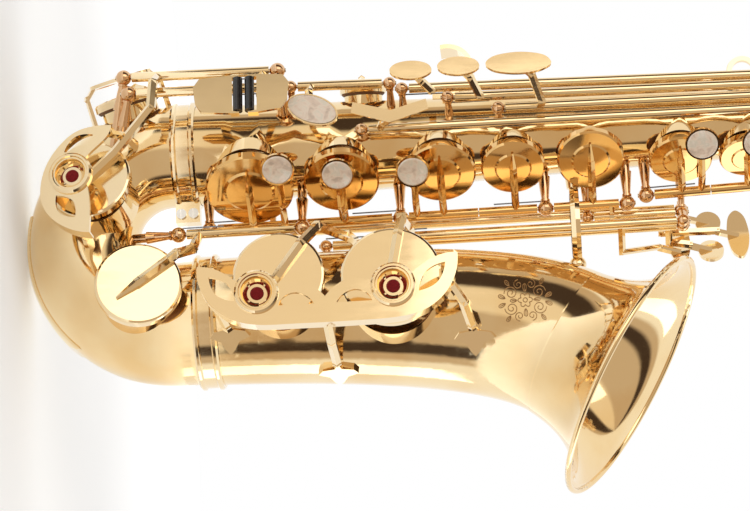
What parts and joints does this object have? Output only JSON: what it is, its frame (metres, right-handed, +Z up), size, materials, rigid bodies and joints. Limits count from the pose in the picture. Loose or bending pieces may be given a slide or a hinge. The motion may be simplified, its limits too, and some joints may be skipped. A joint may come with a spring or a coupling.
{
  "type": "alto saxophone",
  "caption": "Curved lacquered-brass alto saxophone with hinged pad keys, guards, side and palm keys, swivelling neck and mouthpiece.",
  "frame": {"origin": "centre of the hole of the neck-strap ring at the back of the body", "axes": "+Z up the body tube's axis towards the neck, +X from the body towards the bell, +Y to the player's left"},
  "size_m": [0.4038, 0.1296, 0.6476],
  "materials": {
    "lacquered_brass": "clear lacquer, mirror bright",
    "key_brass": "clear lacquer, mirror bright; its pad is brown leather and its button white shell",
    "steel": "polished",
    "felt": "dark red felt",
    "black_rubber": "hard rubber, satin",
    "cork": "cork, waxed",
    "black_plastic": "gloss",
    "cane": "bare cane"
  },
  "bodies": {
    "horn": {"body_tube": "lacquered_brass", "bell": "lacquered_brass", "bow": "lacquered_brass", "bow_guard": "lacquered_brass", "body_ferrule": "lacquered_brass", "bell_ferrule": "lacquered_brass", "clamp_screws": "steel", "bell_brace": "lacquered_brass", "posts": "key_brass", "hinge_rods": "steel", "needle_springs": "steel", "bell_key_guard": "key_brass", "low_c_guard": "key_brass", "low_eb_guard": "key_brass", "bumper_cups": "key_brass", "bumper_felts": "felt", "strap_ring": "key_brass", "thumb_hook": "key_brass", "thumb_rest": "key_brass", "neck_receiver": "lacquered_brass", "neck_screw": "lacquered_brass"},
    "neck": {"neck": "lacquered_brass", "neck_cork": "cork", "neck_hinge_rod": "steel"},
    "neck_octave": {"neck_octave_key": "key_brass"},
    "mouthpiece": {"mouthpiece": "black_plastic", "ligature": "lacquered_brass", "reed": "cane"},
    "d_key": {"d_key": "key_brass"},
    "e_key": {"e_key": "key_brass"},
    "f_key": {"f_key": "key_brass"},
    "g_key": {"g_key": "key_brass"},
    "a_key": {"a_key": "key_brass"},
    "bis_key": {"bis_key": "key_brass"},
    "b_key": {"b_key": "key_brass"},
    "fsharp_cup": {"fsharp_cup": "key_brass"},
    "c_cup": {"c_cup": "key_brass"},
    "gsharp_key": {"gsharp_key": "key_brass"},
    "low_b_key": {"low_b_key": "key_brass"},
    "low_bb_key": {"low_bb_key": "key_brass"},
    "low_csharp_key": {"low_csharp_key": "key_brass"},
    "csharp_lever": {"csharp_lever": "key_brass"},
    "gsharp_lever": {"gsharp_lever": "key_brass"},
    "low_c_key": {"low_c_key": "key_brass"},
    "low_eb_key": {"low_eb_key": "key_brass"},
    "side_bb_key": {"side_bb_key": "key_brass"},
    "side_c_key": {"side_c_key": "key_brass"},
    "high_e_key": {"high_e_key": "key_brass"},
    "high_fsharp_key": {"high_fsharp_key": "key_brass"},
    "side_fsharp_key": {"side_fsharp_key": "key_brass"},
    "palm_d_key": {"palm_d_key": "key_brass"},
    "palm_eb_key": {"palm_eb_key": "key_brass"},
    "palm_f_key": {"palm_f_key": "key_brass"},
    "octave_thumb": {"octave_thumb": "key_brass"},
    "octave_pip_key": {"octave_pip_key": "key_brass"},
    "front_f_key": {"front_f_key": "key_brass"},
    "c_roller": {"c_roller": "black_rubber"},
    "eb_roller": {"eb_roller": "black_rubber"}
  },
  "joints": [
    {"name": "d_pivot", "type": "hinge", "parent": "horn", "child": "d_key", "pos_m": [0.06507, -0.002, -0.2398], "axis": [-0.0044, 0, 1], "range_deg": [-9, 0], "stiffness_Nm_per_rad": 0.15, "springref_deg": 20.05},
    {"name": "e_pivot", "type": "hinge", "parent": "horn", "child": "e_key", "pos_m": [0.06488, -0.002, -0.1969], "axis": [-0.0044, 0, 1], "range_deg": [-9, 0], "stiffness_Nm_per_rad": 0.15, "springref_deg": 20.05},
    {"name": "f_pivot", "type": "hinge", "parent": "horn", "child": "f_key", "pos_m": [0.06467, -0.002, -0.1496], "axis": [-0.0044, 0, 1], "range_deg": [-9, 0], "stiffness_Nm_per_rad": 0.15, "springref_deg": 20.05},
    {"name": "g_pivot", "type": "hinge", "parent": "horn", "child": "g_key", "pos_m": [0.06009, -0.001, -0.03345], "axis": [-0.0277, 0, 0.9996], "range_deg": [-9, 0], "stiffness_Nm_per_rad": 0.15, "springref_deg": 20.05},
    {"name": "a_pivot", "type": "hinge", "parent": "horn", "child": "a_key", "pos_m": [0.05926, -0.001, -0.00375], "axis": [-0.0277, 0, 0.9996], "range_deg": [-9, 0], "stiffness_Nm_per_rad": 0.15, "springref_deg": 20.05},
    {"name": "bis_pivot", "type": "hinge", "parent": "horn", "child": "bis_key", "pos_m": [0.05849, -0.001, 0.02425], "axis": [-0.0277, 0, 0.9996], "range_deg": [-9, 0], "stiffness_Nm_per_rad": 0.15, "springref_deg": 20.05},
    {"name": "b_pivot", "type": "hinge", "parent": "horn", "child": "b_key", "pos_m": [0.05782, -0.001, 0.04825], "axis": [-0.0277, 0, 0.9996], "range_deg": [-9, 0], "stiffness_Nm_per_rad": 0.15, "springref_deg": 20.05},
    {"name": "fsharp_cup_pivot", "type": "hinge", "parent": "horn", "child": "fsharp_cup", "pos_m": [0.06453, -0.002, -0.1182], "axis": [-0.0044, 0, 1], "range_deg": [-9, 0], "stiffness_Nm_per_rad": 0.15, "springref_deg": 20.05},
    {"name": "c_cup_pivot", "type": "hinge", "parent": "horn", "child": "c_cup", "pos_m": [0.05719, -0.001, 0.07115], "axis": [-0.0277, 0, 0.9996], "range_deg": [-9, 0], "stiffness_Nm_per_rad": 0.15, "springref_deg": 20.05},
    {"name": "gsharp_pivot", "type": "hinge", "parent": "horn", "child": "gsharp_key", "pos_m": [0.06436, -0.002, -0.0802], "axis": [-0.0044, 0, 1], "range_deg": [0, 8], "stiffness_Nm_per_rad": 0.15, "springref_deg": -20.05},
    {"name": "low_b_pivot", "type": "hinge", "parent": "horn", "child": "low_b_key", "pos_m": [0.07497, 0.0053, -0.121], "axis": [0, 0, 1], "range_deg": [0, 6], "stiffness_Nm_per_rad": 0.3, "springref_deg": -20.05},
    {"name": "low_bb_pivot", "type": "hinge", "parent": "horn", "child": "low_bb_key", "pos_m": [0.07487, -0.003, -0.108], "axis": [0, 0, 1], "range_deg": [0, 6], "stiffness_Nm_per_rad": 0.3, "springref_deg": -20.05},
    {"name": "low_csharp_pivot", "type": "hinge", "parent": "horn", "child": "low_csharp_key", "pos_m": [0.07028, -0.0142, -0.24785], "axis": [0, 0, 1], "range_deg": [-6, 0], "stiffness_Nm_per_rad": 0.3, "springref_deg": 20.05},
    {"name": "csharp_lever_pivot", "type": "hinge", "parent": "horn", "child": "csharp_lever", "pos_m": [0.06488, 0.0119, -0.134], "axis": [0, 0, 1], "range_deg": [0, 12], "stiffness_Nm_per_rad": 0.15, "springref_deg": -20.05},
    {"name": "gsharp_lever_pivot", "type": "hinge", "parent": "horn", "child": "gsharp_lever", "pos_m": [0.06828, 0.006, -0.057], "axis": [0, 0, 1], "range_deg": [0, 8], "stiffness_Nm_per_rad": 0.15, "springref_deg": -20.05},
    {"name": "low_c_pivot", "type": "hinge", "parent": "horn", "child": "low_c_key", "pos_m": [-0.00468, -0.0327, -0.26295], "axis": [0.0226, -0.0213, 0.9995], "range_deg": [0, 6], "stiffness_Nm_per_rad": 0.3, "springref_deg": -20.05},
    {"name": "low_eb_pivot", "type": "hinge", "parent": "horn", "child": "low_eb_key", "pos_m": [0.00373, -0.03325, -0.2612], "axis": [0.0149, -0.0041, 0.9999], "range_deg": [0, 7], "stiffness_Nm_per_rad": 0.3, "springref_deg": -20.05},
    {"name": "side_bb_pivot", "type": "hinge", "parent": "horn", "child": "side_bb_key", "pos_m": [0.00893, -0.0252, -0.0614], "axis": [0.0158, 0.0225, 0.9996], "range_deg": [0, 10], "stiffness_Nm_per_rad": 0.15, "springref_deg": -20.05},
    {"name": "side_c_pivot", "type": "hinge", "parent": "horn", "child": "side_c_key", "pos_m": [0.01529, -0.02792, -0.0379], "axis": [0.0103, 0.0255, 0.9996], "range_deg": [0, 10], "stiffness_Nm_per_rad": 0.15, "springref_deg": -20.05},
    {"name": "high_e_pivot", "type": "hinge", "parent": "horn", "child": "high_e_key", "pos_m": [0.02203, -0.0287, 0.0006], "axis": [0.0043, 0.0272, 0.9996], "range_deg": [0, 10], "stiffness_Nm_per_rad": 0.15, "springref_deg": -20.05},
    {"name": "high_fsharp_pivot", "type": "hinge", "parent": "horn", "child": "high_fsharp_key", "pos_m": [0.02864, -0.0295, -0.0179], "axis": [-0.0019, 0.0274, 0.9996], "range_deg": [0, 10], "stiffness_Nm_per_rad": 0.15, "springref_deg": -20.05},
    {"name": "side_fsharp_pivot", "type": "hinge", "parent": "horn", "child": "side_fsharp_key", "pos_m": [0.00263, -0.02479, -0.196], "axis": [0.0191, 0.0198, 0.9996], "range_deg": [0, 7], "stiffness_Nm_per_rad": 0.15, "springref_deg": -20.05},
    {"name": "palm_d_pivot", "type": "hinge", "parent": "horn", "child": "palm_d_key", "pos_m": [0.03872, 0.02103, 0.065], "axis": [-0.0137, -0.0238, 0.9996], "range_deg": [-10, 0], "stiffness_Nm_per_rad": 0.15, "springref_deg": 20.05},
    {"name": "palm_eb_pivot", "type": "hinge", "parent": "horn", "child": "palm_eb_key", "pos_m": [0.04463, 0.01515, 0.091], "axis": [-0.0211, -0.0177, 0.9996], "range_deg": [-10, 0], "stiffness_Nm_per_rad": 0.15, "springref_deg": 20.05},
    {"name": "palm_f_pivot", "type": "hinge", "parent": "horn", "child": "palm_f_key", "pos_m": [0.01123, 0.01705, 0.114], "axis": [0.0184, -0.0204, 0.9996], "range_deg": [0, 10], "stiffness_Nm_per_rad": 0.15, "springref_deg": -20.05},
    {"name": "octave_thumb_pivot", "type": "hinge", "parent": "horn", "child": "octave_thumb", "pos_m": [0.00882, 0.01776, 0.035], "axis": [0.0194, -0.0194, 0.9996], "range_deg": [0, 8], "stiffness_Nm_per_rad": 0.15, "springref_deg": -20.05},
    {"name": "octave_pip_pivot", "type": "hinge", "parent": "horn", "child": "octave_pip_key", "pos_m": [0.00617, 0.00951, 0.0931], "axis": [0.0249, -0.0116, 0.9996], "range_deg": [-8, 0], "stiffness_Nm_per_rad": 0.15, "springref_deg": 20.05},
    {"name": "front_f_pivot", "type": "hinge", "parent": "horn", "child": "front_f_key", "pos_m": [0.0561, -0.00628, 0.105], "axis": [-0.0269, 0.0057, 0.9996], "range_deg": [-8, 0], "stiffness_Nm_per_rad": 0.15, "springref_deg": 20.05},
    {"name": "c_roller_spin", "type": "hinge", "parent": "low_c_key", "child": "c_roller", "pos_m": [0.01394, -0.05359, -0.2375], "axis": [0.9755, -0.2201, 0], "continuous": true},
    {"name": "eb_roller_spin", "type": "hinge", "parent": "low_eb_key", "child": "eb_roller", "pos_m": [0.01394, -0.05359, -0.2431], "axis": [0.9755, -0.2201, 0], "continuous": true},
    {"name": "neck_swivel", "type": "hinge", "parent": "horn", "child": "neck", "pos_m": [0.02658, 0, 0.17], "axis": [0, 0, 1], "range_deg": [-20, 20]},
    {"name": "neck_octave_pivot", "type": "hinge", "parent": "neck", "child": "neck_octave", "pos_m": [0.00499, 0, 0.26225], "axis": [0, 1, 0], "range_deg": [0, 2.2], "stiffness_Nm_per_rad": 0.3, "springref_deg": -20.05},
    {"name": "mouthpiece_slide", "type": "slide", "parent": "neck", "child": "mouthpiece", "axis": [-0.9897, 0, -0.1432], "range_m": [0, 0.008]}
  ],
  "couplings": [
    {"joint": "fsharp_cup_pivot", "follows": "f_pivot", "ratio": 1},
    {"joint": "c_cup_pivot", "follows": "b_pivot", "ratio": 1},
    {"joint": "csharp_lever_pivot", "follows": "low_csharp_pivot", "ratio": -2},
    {"joint": "gsharp_lever_pivot", "follows": "gsharp_pivot", "ratio": 1},
    {"joint": "octave_pip_pivot", "follows": "octave_thumb_pivot", "ratio": -1}
  ]
}
